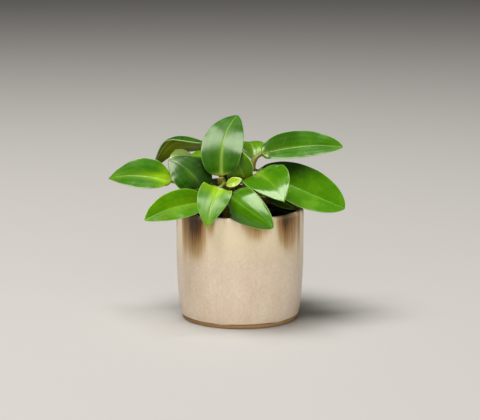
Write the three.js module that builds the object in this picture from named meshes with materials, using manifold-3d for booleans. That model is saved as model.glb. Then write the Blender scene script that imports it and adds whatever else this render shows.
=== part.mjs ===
// A peperomia in a small glazed cache-pot: the pot, the grower's pot inside it, the soil,
// three short shoots and their leaves. Millimetres, +Z up, origin at the middle of the pot's
// underside, +X to the right and -Y toward the front.
import * as THREE from 'three';
import { mergeVertices } from 'three/addons/utils/BufferGeometryUtils.js';
import Module from 'manifold-3d';

const wasm = await Module();
wasm.setup();

// ---- driving dimensions -------------------------------------------------------------------

const gap = 0.3; // clearance between pieces that touch

const pot = {
  height: 74,
  rimRadius: 42.5,
  wall: 3.7,
  floor: 5,
  footRadius: 38.4,
  footHeight: 2.2,
  footBevel: 0.8,
  lipRound: 1.2,
  lipMiddle: 0.35, // how far the middle of the lip's rounding is cut back, as a share of it
  // how far the wall stands in from the rim's radius, at a height: outside and inside
  belly: [[2.9, 3], [2.1, 7], [1.6, 12], [0.7, 24], [0, 38]],
  bowl: [[0.6, 30], [1.6, 12], [4, 6], [7, 5]],
  segments: 48,
};

const growerPot = {
  rimTop: 70.5,
  rimRadius: 38.2,
  rimHeight: 4,
  wall: 1.2,
  baseRadius: 31,
  floor: 1.5,
  drains: 6,
  drainRing: 20,
  drainRadius: 4,
  drainSides: 12,
  bevel: 0.8,
  rimBevel: 0.4,
  segments: 36,
};

const soil = {
  top: 66,
  relief: 0.9, // height of the crumbs above and below the top
  // waves of the crumbs across X and Y, in radians per mm, their starts and their share
  coarse: { x: 0.55, y: 0.6, startX: 1.3, startY: 0.4, share: 0.6 },
  fine: { x: 1.45, y: 1.2, slantX: 0.7, slantY: -0.9, start: 2, share: 0.4 },
  rings: 7,
  segments: 36,
};

const blade = {
  thickness: 1.0,
  crease: 1.15, // power of the way out from the midrib by which the folded halves rise
  rows: 9, // steps from the leaf's base to its tip
  columns: 4, // steps from margin to margin
  tipHalfWidth: 0.5,
};

const stalk = {
  radius: 1.5, // where it leaves the shoot
  bladeRadius: 0.85, // where it runs out under the blade
  rise: 2.5, // how far it first follows the shoot upward, at most riseShare of its reach
  riseShare: 0.3,
  steps: 5,
  sides: 6,
  bend: 0.45, // share of its reach over which it turns into the blade's direction
  intoBlade: 0.12, // share of the blade's length that it runs under
  runOut: 0.35, // share of its radius that it loses there
};

const shoot = {
  radius: 2.3,
  nodeSwell: 0.35, // the shoot is thicker where leaves leave it
  tipShare: 0.5, // radius of its tip, as a share of its own
  steps: 10,
  sides: 10,
};

// Each shoot bends once, from its foot in the soil over a middle point to its top.
const shoots = {
  left: { foot: [-9, -4, 56], bend: [-7.5, -8, 78], top: [-13, -4, 95] },
  right: { foot: [1, 2, 56], bend: [-2, 1, 80], top: [7.5, 3, 97] },
  back: { foot: [-2, 15, 56], bend: [-2, 12, 78], top: [-3, 15, 95] },
};

// Leaves, from where the blade starts (base) to its tip. width is the blade's widest, arch the
// rise of its midrib off the straight line, skew moves that rise toward the tip, roll turns the
// blade about its length, fold lifts its halves off the midrib, cup lifts them further near the
// base, curl bends them down again and sweep bends it sideways. full and taper shape the outline
// at the base and at the tip. shoot and node say which shoot the stalk grows from and how far up,
// from 0 at its foot to 1 at its top. stalk is the stalk's radius where it isn't the usual one.
const leaves = [
  { name: 'leaf_top', shoot: 'left', node: 0.97, base: [-12.2, -2.1, 95.8], tip: [-1.7, 33.7, 131.8],
    width: 28.7, arch: 7.1, skew: -0.2, roll: 5.3, fold: 4.7, cup: 13.6, curl: 0.047, sweep: -2.8,
    full: 0.35, taper: 0.7 },
  { name: 'leaf_left_far', shoot: 'left', node: 0.62, base: [-45.7, 3.2, 91.1], tip: [-88.7, 9.5, 91.9],
    width: 27.3, arch: 3.3, skew: 0.06, roll: -43.4, fold: 20.8, cup: 1.6, curl: 0.08, sweep: 1,
    full: 0.69, taper: 1.04 },
  { name: 'leaf_left_low', shoot: 'left', node: 0.57, base: [-21.5, -20.5, 81.5], tip: [-61.2, -46.2, 74],
    width: 22.8, arch: 0, roll: -50, fold: 20.1, cup: 11.5, curl: 0.13, sweep: 2.8, full: 0.49,
    taper: 0.75 },
  { name: 'leaf_left_inner', shoot: 'left', node: 0.8, base: [-25.1, -8.7, 87.9], tip: [-47.7, 2.6, 105.6],
    width: 29.2, arch: 2, skew: 0.23, roll: -29.3, fold: 2.5, cup: -1.9, curl: 0.048, sweep: 2.3,
    full: 0.431, taper: 0.669 },
  { name: 'leaf_left_back', shoot: 'back', node: 0.97, base: [-20, 19, 114.3], tip: [-59.2, 32, 96],
    width: 26, arch: 15, skew: 0.4, roll: 30, fold: -25, curl: 0.1, full: 0.7, taper: 0.7 },
  { name: 'leaf_right_high', shoot: 'right', node: 0.97, base: [14.6, 9.1, 108.9], tip: [69, 10.6, 113.2],
    width: 24.9, arch: 0, roll: 44.1, fold: 21.2, cup: 1.6, curl: 0.1, sweep: -3.3, full: 0.47,
    taper: 0.686, stalk: 2.6 },
  { name: 'leaf_right_large', shoot: 'right', node: 0.65, base: [11.6, 8, 97.8], tip: [69.1, -13.4, 75.7],
    width: 35, arch: 0, roll: 45.4, fold: 24, cup: 20, curl: 0.11, sweep: 0.4, full: 0.63,
    taper: 0.61 },
  { name: 'leaf_right_front', shoot: 'right', node: 0.84, base: [8, 0.8, 94.9], tip: [28.2, -45.2, 85.9],
    width: 30, arch: 6.4, skew: -0.155, roll: 22.1, fold: 10, curl: 0.033, sweep: -1.8, full: 0.8,
    taper: 0.993 },
  { name: 'leaf_front_left', shoot: 'left', node: 0.75, base: [-12.9, -28.5, 92], tip: [-20.7, -48.6, 69.4],
    width: 23.7, arch: 2.2, skew: 0.43, roll: -8.8, fold: 0.7, cup: 32, curl: 0.07, sweep: 1.6,
    full: 0.2, taper: 0.85 },
  { name: 'leaf_front_right', shoot: 'left', node: 0.64, base: [-5.9, -20.6, 84.8], tip: [20.8, -64.9, 72.5],
    width: 23.3, arch: 11.4, skew: -0.46, roll: 57.3, fold: -6, cup: -5, curl: 0.28, sweep: -0.6,
    full: 0.51, taper: 0.7 },
  { name: 'leaf_young', shoot: 'left', node: 0.92, base: [-9.6, -6, 90.3], tip: [1.3, -8.5, 94.6],
    width: 7.6, arch: 0.3, skew: -0.44, roll: 52, fold: 3, cup: 16.2, curl: -0.02, sweep: 0.4,
    full: 0.73, taper: 0.84 },
  { name: 'leaf_middle', shoot: 'right', node: 0.93, base: [3.2, 3.3, 93.6], tip: [-5.1, 13.5, 110.1],
    width: 24.4, arch: 3, roll: -82.9, fold: 4.7, cup: 2.3, curl: 0.004, sweep: 2.3, full: 0.4,
    taper: 1.15 },
  { name: 'leaf_back_right_upper', shoot: 'back', node: 0.82, base: [10, 23, 102.5], tip: [5, 50, 110.5],
    width: 18, arch: 5, roll: 0, fold: 10, curl: 0.1, full: 0.7, taper: 0.8 },
  { name: 'leaf_right_low', shoot: 'right', node: 0.5, base: [17, -3, 83], tip: [36, -9, 74.5],
    width: 13, arch: 2, roll: 30, fold: 10, curl: 0.1, full: 0.7, taper: 0.8 },
  { name: 'leaf_left_behind', shoot: 'back', node: 0.78, base: [-33.9, 11, 89.2], tip: [-43, 29.2, 108.9],
    width: 16.9, arch: 2, roll: -24.1, fold: 4, curl: 0.08, full: 0.5, taper: 0.47 },
  { name: 'leaf_back_left', shoot: 'back', node: 0.7, base: [-10, 26, 83], tip: [-39, 55, 76],
    width: 26, arch: 6, roll: 0, fold: 8, curl: 0.15, full: 0.65, taper: 0.8 },
  { name: 'leaf_back', shoot: 'back', node: 0.82, base: [-3, 24, 85.5], tip: [-8, 68, 85],
    width: 27, arch: 11, roll: 0, fold: 8, curl: 0.15, full: 0.45, taper: 0.8 },
  { name: 'leaf_back_right', shoot: 'back', node: 0.65, base: [12, 21, 86], tip: [36, 50, 79],
    width: 27, arch: 6, roll: 0, fold: 8, curl: 0.15, full: 0.65, taper: 0.8 },
  { name: 'leaf_right_back', shoot: 'right', node: 0.6, base: [14, 10, 84], tip: [58, 24, 77],
    width: 25, arch: 5, roll: -10, fold: 8, curl: 0.15, full: 0.65, taper: 0.8 },
  { name: 'leaf_left_mid_back', shoot: 'back', node: 0.6, base: [-18, 19, 86], tip: [-60, 36, 88],
    width: 24, arch: 5, roll: 10, fold: 8, curl: 0.15, full: 0.65, taper: 0.8 },
  { name: 'leaf_back_upper', shoot: 'back', node: 0.87, base: [-9, 26, 101.5], tip: [-36, 43, 101],
    width: 25, arch: 3, roll: -30, fold: 10, curl: 0.12, full: 0.65, taper: 0.8 },
  { name: 'leaf_back_low_left', shoot: 'back', node: 0.45, base: [-8, 26, 79], tip: [-27, 58, 68],
    width: 23, arch: 7, roll: 0, fold: 8, curl: 0.15, full: 0.65, taper: 0.8 },
  { name: 'leaf_back_low_right', shoot: 'back', node: 0.55, base: [5, 27, 80], tip: [18, 60, 68],
    width: 23, arch: 7, roll: 0, fold: 8, curl: 0.15, full: 0.65, taper: 0.8 },
];

// ---- meshes and solids --------------------------------------------------------------------

// A closed geometry's shared corners are merged, so that it becomes one solid.
function toSolid(geometry) {
  const plain = geometry.clone();
  plain.deleteAttribute('normal');
  plain.deleteAttribute('uv');
  const merged = mergeVertices(plain, 1e-4);
  return new wasm.Manifold(new wasm.Mesh({
    numProp: 3,
    vertProperties: new Float32Array(merged.attributes.position.array),
    triVerts: new Uint32Array(merged.index.array),
  }));
}

function toGeometry(solid) {
  const { vertProperties, triVerts } = solid.getMesh();
  const geometry = new THREE.BufferGeometry();
  geometry.setAttribute('position', new THREE.BufferAttribute(vertProperties, 3));
  geometry.setIndex(new THREE.BufferAttribute(triVerts, 1));
  return geometry;
}

// A lathe about Z: the profile is [radius, height] pairs.
function turned(profile, segments) {
  const points = profile.map(([radius, height]) => new THREE.Vector2(radius, height));
  return new THREE.LatheGeometry(points, segments).rotateX(Math.PI / 2);
}

function indexed(positions, faces) {
  const geometry = new THREE.BufferGeometry();
  geometry.setAttribute('position', new THREE.Float32BufferAttribute(positions, 3));
  geometry.setIndex(faces);
  return geometry;
}

// A closed round tube through the given centres, with its own radius at each of them. The
// reference direction sets where each ring's first corner lies, and never runs along the tube.
function taperedTube(centres, radii, sides, reference) {
  const positions = [];
  const faces = [];
  const last = centres.length - 1;
  centres.forEach((centre, i) => {
    const along = centres[Math.min(i + 1, last)].clone().sub(centres[Math.max(i - 1, 0)]).normalize();
    const across = new THREE.Vector3().crossVectors(along, reference).normalize();
    const up = new THREE.Vector3().crossVectors(along, across);
    for (let j = 0; j < sides; j += 1) {
      const angle = (j / sides) * 2 * Math.PI;
      const point = centre.clone()
        .addScaledVector(across, Math.cos(angle) * radii[i])
        .addScaledVector(up, Math.sin(angle) * radii[i]);
      positions.push(point.x, point.y, point.z);
    }
  });
  for (let i = 0; i < last; i += 1) {
    for (let j = 0; j < sides; j += 1) {
      const a = i * sides + j;
      const b = i * sides + ((j + 1) % sides);
      faces.push(a, b, a + sides, b, b + sides, a + sides);
    }
  }
  for (let j = 1; j < sides - 1; j += 1) {
    faces.push(0, j + 1, j);
    faces.push(last * sides, last * sides + j, last * sides + j + 1);
  }
  return indexed(positions, faces);
}

// ---- pot, grower's pot and soil -----------------------------------------------------------

// Stoneware: a bare clay foot, a glazed wall that swells a little toward the rim, a round lip.
function potGeometry() {
  const rim = pot.rimRadius;
  const inner = rim - pot.wall;
  const lip = pot.lipRound;
  const middle = pot.lipMiddle * lip;
  return turned([
    [0, 0], [pot.footRadius - pot.footBevel, 0], [pot.footRadius, pot.footBevel],
    [pot.footRadius, pot.footHeight],
    ...pot.belly.map(([inset, height]) => [rim - inset, height]),
    [rim, pot.height - lip], [rim - middle, pot.height - middle], [rim - lip, pot.height],
    [inner + lip, pot.height], [inner + middle, pot.height - middle], [inner, pot.height - lip],
    ...pot.bowl.map(([inset, height]) => [inner - inset, height]),
    [0, pot.floor],
  ], pot.segments);
}

// Radius of the grower's pot's inside at a height, on its straight tapered wall.
function growerInside(height) {
  const foot = pot.floor + gap;
  const rise = (height - foot) / (growerPot.rimTop - growerPot.rimHeight - foot);
  const wallTop = growerPot.rimRadius - growerPot.wall;
  return growerPot.baseRadius + (wallTop - growerPot.baseRadius) * rise - growerPot.wall;
}

// Thin black plastic with a stepped rim and drain holes round its floor.
function growerPotGeometry() {
  const foot = pot.floor + gap;
  const { rimTop, rimRadius, rimHeight, wall, baseRadius, bevel, rimBevel } = growerPot;
  const under = rimTop - rimHeight;
  const inside = foot + growerPot.floor;
  const shell = toSolid(turned([
    [0, foot], [baseRadius - bevel, foot], [baseRadius, foot + bevel], [rimRadius - wall, under],
    [rimRadius, under], [rimRadius, rimTop - rimBevel], [rimRadius - rimBevel, rimTop],
    [rimRadius - wall + rimBevel, rimTop], [rimRadius - wall, rimTop - rimBevel],
    [rimRadius - wall, under + wall], [growerInside(under), under], [growerInside(inside), inside],
    [0, inside],
  ], growerPot.segments));
  const { drains, drainRing, drainRadius, drainSides } = growerPot;
  const through = 4 * growerPot.floor;
  let holed = shell;
  for (let i = 0; i < drains; i += 1) {
    const angle = (i / drains) * 2 * Math.PI;
    const drain = new THREE.CylinderGeometry(drainRadius, drainRadius, through, drainSides);
    drain.rotateX(Math.PI / 2);
    drain.translate(Math.cos(angle) * drainRing, Math.sin(angle) * drainRing, foot);
    holed = holed.subtract(toSolid(drain));
  }
  return toGeometry(holed);
}

// Height of the soil's crumbs above or below its top at a place on it.
function crumb(x, y) {
  const { coarse, fine } = soil;
  const low = Math.sin(coarse.x * x + coarse.startX) * Math.sin(coarse.y * y + coarse.startY);
  const high = Math.sin(fine.x * x + fine.slantY * y)
    * Math.sin(fine.y * y + fine.slantX * x + fine.start);
  return soil.relief * (coarse.share * low + fine.share * high);
}

function soilGeometry() {
  const base = pot.floor + gap + growerPot.floor + gap;
  const edge = (height) => growerInside(height) - gap;
  const top = [];
  for (let i = 0; i <= soil.rings; i += 1) {
    top.push([edge(soil.top) * (1 - i / soil.rings), soil.top]);
  }
  const body = turned([[0, base], [edge(base), base], ...top], soil.segments);
  const corners = body.attributes.position;
  for (let i = 0; i < corners.count; i += 1) {
    if (corners.getZ(i) > base + gap) {
      corners.setZ(i, soil.top + crumb(corners.getX(i), corners.getY(i)));
    }
  }
  let holed = toSolid(body);
  for (const name of Object.keys(shoots)) {
    holed = holed.subtract(shootSolid(name, gap));
  }
  return toGeometry(holed);
}

// ---- shoots -------------------------------------------------------------------------------

function shootCurve(name) {
  const { foot, bend, top } = shoots[name];
  return new THREE.QuadraticBezierCurve3(
    new THREE.Vector3(...foot),
    new THREE.Vector3(...bend),
    new THREE.Vector3(...top),
  );
}

// A fleshy shoot, a little swollen at its joints and rounded off at its tip. extra widens it all
// round and lengthens its foot: that is the room that its hole and the stalks leave it.
function shootSolid(name, extra) {
  const curve = shootCurve(name);
  const centres = [];
  const radii = [];
  for (let i = 0; i <= shoot.steps; i += 1) {
    const t = i / shoot.steps;
    centres.push(curve.getPoint(t));
    const swell = i % 2 === 0 ? shoot.nodeSwell : 0;
    radii.push(shoot.radius + swell + extra);
  }
  centres[0].z -= extra;
  radii[shoot.steps] = shoot.tipShare * shoot.radius + extra;
  centres[shoot.steps].z += extra;
  return toSolid(taperedTube(centres, radii, shoot.sides, new THREE.Vector3(1, 0, 0)));
}

// ---- leaves -------------------------------------------------------------------------------

// The leaf's own directions: along it, out of its upper face and toward its left margin.
function leafFrame({ base, tip, roll }) {
  const from = new THREE.Vector3(...base);
  const line = new THREE.Vector3(...tip).sub(from);
  const along = line.clone().normalize();
  const up = new THREE.Vector3(0, 0, 1).addScaledVector(along, -along.z).normalize();
  const left = new THREE.Vector3().crossVectors(along, up);
  const turn = THREE.MathUtils.degToRad(roll);
  const face = up.clone().multiplyScalar(Math.cos(turn)).addScaledVector(left, Math.sin(turn));
  return { from, line, face, side: new THREE.Vector3().crossVectors(along, face) };
}

// The midrib's point at u, from 0 at the base to 1 at the tip, with the directions there.
function midrib(leaf, u) {
  const { from, line, face, side } = leafFrame(leaf);
  const { arch, skew = 0, sweep = 0 } = leaf;
  const lean = 1 + skew * (2 * u - 1);
  const hump = 4 * u * (1 - u);
  const humpSlope = 4 * (1 - 2 * u);
  const point = from.clone().addScaledVector(line, u)
    .addScaledVector(face, arch * hump * lean)
    .addScaledVector(side, sweep * hump);
  const along = line.clone()
    .addScaledVector(face, arch * (humpSlope * lean + hump * 2 * skew))
    .addScaledVector(side, sweep * humpSlope)
    .normalize();
  const up = face.clone().addScaledVector(along, -face.dot(along)).normalize();
  return { point, along, up, across: new THREE.Vector3().crossVectors(along, up) };
}

// Half the blade's width at u: a power of u at the base times a power of 1 - u at the tip,
// scaled so that its largest value is half the leaf's width.
function halfWidth({ width, full, taper }, u) {
  const peak = (full / (full + taper)) ** full * (taper / (full + taper)) ** taper;
  return Math.max((width / 2) * (u ** full) * ((1 - u) ** taper) / peak, blade.tipHalfWidth);
}

// A point of the upper face: v runs from -1 at the right margin to 1 at the left.
function bladePoint(leaf, u, v) {
  const { point, up, across } = midrib(leaf, u);
  const half = halfWidth(leaf, u);
  const fold = THREE.MathUtils.degToRad(leaf.fold + (leaf.cup ?? 0) * (1 - u) ** 2);
  const lift = Math.abs(v) ** blade.crease * Math.sin(fold) - leaf.curl * v * v;
  return point.addScaledVector(across, half * v * Math.cos(fold)).addScaledVector(up, half * lift);
}

// The blade: the same grid on both faces, a thickness apart, closed round its edge.
function bladeGeometry(leaf) {
  const { rows, columns, thickness } = blade;
  const positions = [];
  const faces = [];
  for (const depth of [0, thickness]) {
    for (let i = 0; i <= rows; i += 1) {
      const u = (1 - Math.cos((Math.PI * i) / rows)) / 2;
      const { up } = midrib(leaf, u);
      for (let j = 0; j <= columns; j += 1) {
        const point = bladePoint(leaf, u, (2 * j) / columns - 1).addScaledVector(up, -depth);
        positions.push(point.x, point.y, point.z);
      }
    }
  }
  const stride = columns + 1;
  const under = (rows + 1) * stride;
  for (let i = 0; i < rows; i += 1) {
    for (let j = 0; j < columns; j += 1) {
      const a = i * stride + j;
      const b = a + 1;
      const c = a + stride;
      const d = c + 1;
      faces.push(a, d, c, a, b, d);
      faces.push(under + a, under + c, under + d, under + a, under + d, under + b);
    }
  }
  const edge = [];
  for (let j = 0; j < columns; j += 1) edge.push(j);
  for (let i = 0; i < rows; i += 1) edge.push(i * stride + columns);
  for (let j = columns; j > 0; j -= 1) edge.push(rows * stride + j);
  for (let i = rows; i > 0; i -= 1) edge.push(i * stride);
  edge.forEach((a, i) => {
    const b = edge[(i + 1) % edge.length];
    faces.push(a, under + b, b, a, under + a, under + b);
  });
  return indexed(positions, faces);
}

// The stalk leaves the shoot rising, bends over into the blade's own direction and runs out
// as a keel under the midrib.
function stalkGeometry(leaf) {
  const curve = shootCurve(leaf.shoot);
  const start = curve.getPoint(leaf.node);
  const rise = curve.getTangent(leaf.node);
  const root = midrib(leaf, 0);
  const reach = root.point.distanceTo(start);
  const path = new THREE.CubicBezierCurve3(
    start,
    start.clone().addScaledVector(rise, Math.min(stalk.rise, stalk.riseShare * reach)),
    root.point.clone().addScaledVector(root.along, -stalk.bend * reach),
    root.point.clone().addScaledVector(root.up, -blade.thickness / 2),
  );
  const centres = path.getPoints(stalk.steps);
  const thick = leaf.stalk ?? stalk.radius;
  const thin = thick * stalk.bladeRadius / stalk.radius;
  const radii = centres.map((point, i) => thick + (thin - thick) * (i / stalk.steps));
  for (const share of [0.5, 1]) {
    const { point, up } = midrib(leaf, stalk.intoBlade * share);
    centres.push(point.addScaledVector(up, -blade.thickness / 2));
    radii.push(thin * (1 - stalk.runOut * share));
  }
  return taperedTube(centres, radii, stalk.sides, leafFrame(leaf).side);
}

function leafGeometry(leaf) {
  const whole = toSolid(bladeGeometry(leaf)).add(toSolid(stalkGeometry(leaf)));
  return toGeometry(whole.subtract(shootSolid(leaf.shoot, gap)));
}

// ---- the plant in its pot -----------------------------------------------------------------

const finish = {
  glaze: { color: 0xd6c5aa, roughness: 0.35, metalness: 0 },
  plastic: { color: 0x17181a, roughness: 0.5, metalness: 0 },
  soil: { color: 0x1c130c, roughness: 0.95, metalness: 0 },
  shoot: { color: 0x5d6620, roughness: 0.5, metalness: 0 },
  leaf: { color: 0x3f8405, roughness: 0.28, metalness: 0 },
  youngLeaf: { color: 0xa0c81f, roughness: 0.28, metalness: 0 },
};

function piece(name, geometry, look) {
  const mesh = new THREE.Mesh(geometry, new THREE.MeshStandardMaterial(look));
  mesh.name = name;
  return mesh;
}

const plant = new THREE.Group();
plant.add(piece('pot', potGeometry(), finish.glaze));
plant.add(piece('grower_pot', growerPotGeometry(), finish.plastic));
plant.add(piece('soil', soilGeometry(), finish.soil));
for (const name of Object.keys(shoots)) {
  plant.add(piece(`shoot_${name}`, toGeometry(shootSolid(name, 0)), finish.shoot));
}
for (const leaf of leaves) {
  const look = leaf.name === 'leaf_young' ? finish.youngLeaf : finish.leaf;
  plant.add(piece(leaf.name, leafGeometry(leaf), look));
}

export default plant;
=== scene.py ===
# A potted peperomia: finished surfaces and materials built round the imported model.
# Blender works in metres; the tables here are in millimetres, as the part's own sizes are.
# +Z is up, -Y is toward the camera and the pot stands on z = 0.
import bpy
import numpy as np
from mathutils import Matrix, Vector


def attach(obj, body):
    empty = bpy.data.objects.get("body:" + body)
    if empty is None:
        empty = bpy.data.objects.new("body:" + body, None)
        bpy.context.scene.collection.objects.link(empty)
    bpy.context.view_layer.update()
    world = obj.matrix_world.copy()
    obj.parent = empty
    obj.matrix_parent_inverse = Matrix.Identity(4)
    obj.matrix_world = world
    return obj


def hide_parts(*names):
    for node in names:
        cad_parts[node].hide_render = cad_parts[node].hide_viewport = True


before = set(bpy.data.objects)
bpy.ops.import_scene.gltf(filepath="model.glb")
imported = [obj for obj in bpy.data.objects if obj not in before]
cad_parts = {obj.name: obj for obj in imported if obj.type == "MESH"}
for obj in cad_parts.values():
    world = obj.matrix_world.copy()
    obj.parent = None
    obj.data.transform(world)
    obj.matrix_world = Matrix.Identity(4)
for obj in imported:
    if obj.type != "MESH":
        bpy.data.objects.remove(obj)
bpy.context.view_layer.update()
print("frame loaded:", len(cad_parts), "nodes")

mm = 0.001
gap = 0.3  # clearance between pieces that touch, as in the part


# Faces of n rings of m points that run round a piece, with a fan to a pole at each end. Point j
# of ring i is number i m + j, and the poles are numbers n m and n m + 1.
def ringFaces(n, m):
    ringAt, stepAt = np.meshgrid(np.arange(n - 1), np.arange(m), indexing="ij")
    a = (ringAt * m + stepAt).ravel()
    b = (ringAt * m + (stepAt + 1) % m).ravel()
    quads = np.stack([a, b, b + m, a + m], axis=1)
    here, after = np.arange(m), (np.arange(m) + 1) % m
    firstFan = np.stack([after, here, np.full(m, n * m)], axis=1)
    lastRing = (n - 1) * m
    lastFan = np.stack([lastRing + here, lastRing + after, np.full(m, n * m + 1)], axis=1)
    return quads, firstFan, lastFan


# A piece from its rings, (n, m, 3) in mm, and its two poles. Fields are numbers per point, of
# shape (n, m), that a material reads by name. The faces are turned outward by the sign of the
# volume, a sixth of the sum of a . (b x c) over the triangles.
def skin(name, rings, poles, fields={}):
    points = np.concatenate([rings.reshape(-1, 3), np.array(poles, float).reshape(2, 3)])
    groups = quads, firstFan, lastFan = ringFaces(*rings.shape[:2])
    triangles = np.concatenate([quads[:, [0, 1, 2]], quads[:, [0, 2, 3]], firstFan, lastFan])
    p, q, r = (points[triangles[:, k]] for k in range(3))
    if np.einsum("ij,ij->", p, np.cross(q, r)) < 0:
        groups = [faces[:, ::-1] for faces in groups]
    values = {key: np.concatenate([field.ravel(), [field[0].mean(), field[-1].mean()]])
              for key, field in fields.items()}
    return faced(name, points, groups, values)


# Puts a mesh, a lamp or the camera in the scene as an object.
def inScene(name, data):
    item = bpy.data.objects.new(name, data)
    bpy.context.scene.collection.objects.link(item)
    return item


# Puts points (k, 3) in mm and groups of faces, each an (f, corners) array, into one mesh.
def faced(name, points, groups, values={}):
    mesh = bpy.data.meshes.new(name)
    corners = np.concatenate([group.ravel() for group in groups])
    sizes = np.concatenate([np.full(len(group), group.shape[1]) for group in groups])
    mesh.vertices.add(len(points))
    mesh.vertices.foreach_set("co", (points * mm).ravel())
    mesh.loops.add(len(corners))
    mesh.loops.foreach_set("vertex_index", corners)
    mesh.polygons.add(len(sizes))
    mesh.polygons.foreach_set("loop_start", np.concatenate([[0], np.cumsum(sizes)[:-1]]))
    mesh.polygons.foreach_set("use_smooth", np.ones(len(sizes), bool))
    for key, value in values.items():
        mesh.attributes.new(key, "FLOAT", "POINT").data.foreach_set("value", value)
    mesh.update(calc_edges=True)
    return inScene(name, mesh)


# Gives a finished piece its material, hangs it on the root body and hides the nodes of the
# model that it takes the place of.
def finishPiece(piece, material, slotName, *nodes):
    piece.data.materials.append(material)
    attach(piece, "root")
    if nodes:
        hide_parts(*nodes)


# Each vector divided by its own length.
def unit(v):
    return v / np.linalg.norm(v, axis=-1, keepdims=True)


# 3 t^2 - 2 t^3, where t runs from 0 at low to 1 at high and stays there.
def smoothStep(low, high, x):
    t = np.clip((x - low) / (high - low), 0, 1)
    return t * t * (3 - 2 * t)


# A bell of height 1 at the middle: exp(-(x / width)^2).
def bell(x, width):
    return np.exp(-(x / width) ** 2)


# A Bezier curve through its control points: the sum over k of choose(n, k) t^k (1 - t)^(n - k)
# times the k-th point. Returns the points and the unit directions at the values t.
def bezier(controls, t):
    def at(points, s):
        while len(points) > 1:
            points = [a * (1 - s) + b * s for a, b in zip(points[:-1], points[1:])]
        return points[0]
    points = [np.array(c, float) for c in controls]
    s = t[:, None]
    steps = [b - a for a, b in zip(points[:-1], points[1:])]
    return at(points, s), unit(at(steps, s))


# A round-cornered outline: each corner of the [radius, height, rounding] rows is replaced by
# the parabola from the point that far before it to the point that far after it, and straight
# stretches are divided so that no step is longer than `step`.
def roundedOutline(rows, step=1.2, cornerSteps=7):
    rows = np.array(rows, float)
    made = [rows[0, :2]]
    t = np.linspace(0, 1, cornerSteps)[:, None]
    for before, here, after in zip(rows[:-2], rows[1:-1], rows[2:]):
        start = here[:2] + unit(before[:2] - here[:2]) * here[2]
        end = here[:2] + unit(after[:2] - here[:2]) * here[2]
        arc = (1 - t) ** 2 * start + 2 * t * (1 - t) * here[:2] + t ** 2 * end
        made.extend(arc if here[2] > 0 else [here[:2]])
    made = np.array(made + [rows[-1, :2]])
    lengths = np.linalg.norm(np.diff(made, axis=0), axis=1)
    fine = [a + (b - a) * np.linspace(0, 1, int(np.ceil(length / step)) + 1)[:-1, None]
            for a, b, length in zip(made[:-1], made[1:], lengths) if length > 1e-6]
    return np.concatenate(fine + [made[-1:]])


# A lathe: ring i has the radius and height of outline row i, and point j is turned by the
# angle 2 pi j / m. The first and last rows lie on the axis and become the poles.
def turned(outline, around):
    angle = np.arange(around) * 2 * np.pi / around
    radius, height = outline[1:-1, 0, None], outline[1:-1, 1, None]
    rings = np.stack([radius * np.cos(angle), radius * np.sin(angle),
                      height + 0 * angle], axis=-1)
    return rings, [(0, 0, outline[0, 1]), (0, 0, outline[-1, 1])]


# An sRGB hex colour as linear RGBA: ((c + 0.055) / 1.055) ^ 2.4 above 0.04045, else c / 12.92.
def linear(hexColour):
    c = np.array([int(hexColour[k:k + 2], 16) for k in (1, 3, 5)]) / 255
    return (*np.where(c > 0.04045, ((c + 0.055) / 1.055) ** 2.4, c / 12.92).tolist(), 1.0)


# Adds a node with its settings. Its inputs, in order or by name, are values, hex colours or
# what other nodes give, and stops are a colour ramp's places and colours.
def add(tree, kind, inputs={}, stops=(), **settings):
    node = tree.nodes.new("ShaderNode" + kind)
    for key, value in settings.items():
        setattr(node, key, value)
    for key, value in inputs.items() if isinstance(inputs, dict) else enumerate(inputs):
        if isinstance(value, bpy.types.Node):
            value = next(output for output in value.outputs if output.enabled)
        if isinstance(value, bpy.types.NodeSocket):
            tree.links.new(value, node.inputs[key])
        else:
            node.inputs[key].default_value = linear(value) if isinstance(value, str) else value
    for k, (place, colour) in enumerate(stops):
        elements = node.color_ramp.elements  # two to begin with
        element = elements[k] if k < 2 else elements.new(place)
        element.position, element.color = place, linear(colour)
    return node


# Settings that many nodes share.
times, plus, minus, timesPlus = (
    {"operation": word} for word in ("MULTIPLY", "ADD", "SUBTRACT", "MULTIPLY_ADD"))
colours = {"data_type": "RGBA"}
smooth = {"interpolation_type": "SMOOTHSTEP"}


# An empty material and its node tree.
def newMaterial(name):
    material = bpy.data.materials.new(name)
    material.use_nodes = True
    material.node_tree.nodes.clear()
    return material, material.node_tree


# Ends a material with a Principled shader that has these inputs.
def finishMaterial(material, **inputs):
    shader = add(material.node_tree, "BsdfPrincipled",
                 {key.replace("_", " "): value for key, value in inputs.items()})
    add(material.node_tree, "OutputMaterial", {"Surface": shader})
    return material


# A pattern on Object coordinates whose cells are `size` mm wide: the place is divided by size
# times stretch along X, Y and Z, and offset is added.
def pattern(tree, kind, size, stretch=(1, 1, 1), offset=(0, 0, 0), **inputs):
    place = add(tree, "TexCoord").outputs["Object"]
    scale = [1 / (size * mm * s) for s in stretch]
    spot = add(tree, "Mapping", {"Vector": place, "Scale": scale, "Location": offset})
    return add(tree, kind, {"Vector": spot, "Scale": 1.0, **inputs})


view = {
    "place": (0, -1182, 288),  # mm
    "pitch": 10.35,  # degrees below the horizon
    "lens": 135,
    "sensor": 36,
    "nearest": 50,
}
camera = bpy.data.cameras.new("camera")
camera.lens = view["lens"]
camera.sensor_width = view["sensor"]
camera.clip_start = view["nearest"] * mm
cameraObject = inScene("camera", camera)
cameraObject.location = np.array(view["place"]) * mm
cameraObject.rotation_euler = (np.radians(90 - view["pitch"]), 0, 0)
bpy.context.scene.camera = cameraObject

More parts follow.
